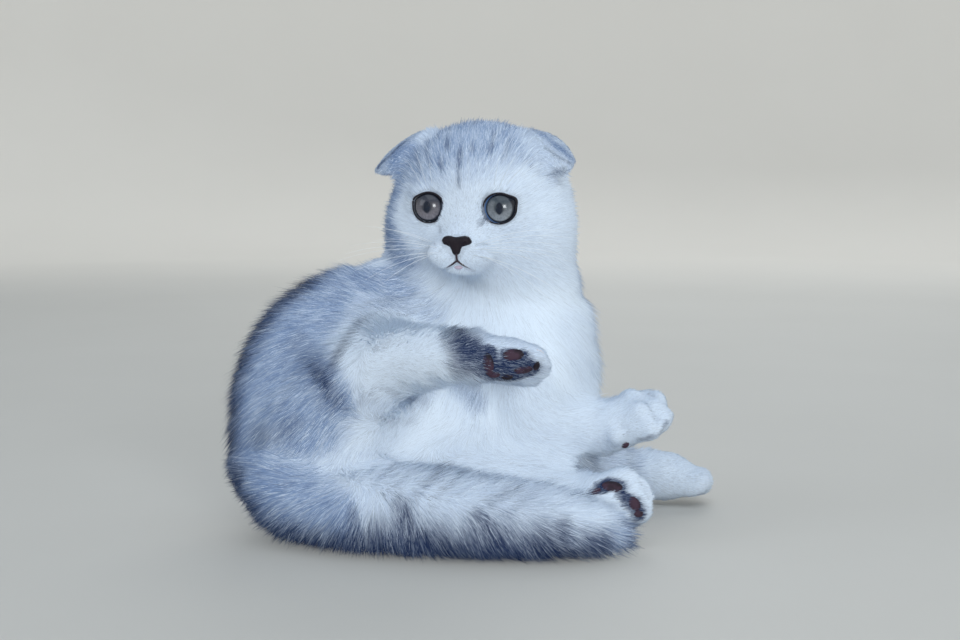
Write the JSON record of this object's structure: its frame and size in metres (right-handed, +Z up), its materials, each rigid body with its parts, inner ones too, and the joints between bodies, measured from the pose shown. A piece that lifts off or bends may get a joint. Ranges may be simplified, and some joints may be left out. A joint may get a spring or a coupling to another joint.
{
  "type": "scottish fold kitten",
  "caption": "Still, life-size model of a silver tabby Scottish fold kitten sitting back with a hind leg raised, tail laid along the floor and head turned to the viewer.",
  "frame": {"origin": "middle of the footprint, on the floor that the kitten sits on", "axes": "+Z up; -Y towards the viewer, the side that the face looks to; +X towards the forepaws, the viewer's right"},
  "size_m": [0.212, 0.1428, 0.1719],
  "materials": {
    "coat": "soft plush fur, cool white with grey tabby marks",
    "eye": "wet, clear cornea over a grey-olive iris",
    "nose_leather": "fine-grained, slightly moist",
    "paw_pad": "dull, finely pebbled",
    "claw": "thin translucent horn",
    "whisker": "fine smooth white hairs"
  },
  "bodies": {
    "root": {"head": "coat", "ear_left": "coat", "ear_right": "coat", "eye_left": "eye", "eye_right": "eye", "nose": "nose_leather", "neck": "coat", "torso": "coat", "foreleg_left": "coat", "foreleg_right": "coat", "forepaw_left": "coat", "forepaw_right": "coat", "hind_leg_left": "coat", "hind_leg_right": "coat", "hind_paw_left": "coat", "hind_paw_right": "coat", "tail": "coat"}
  },
  "joints": []
}
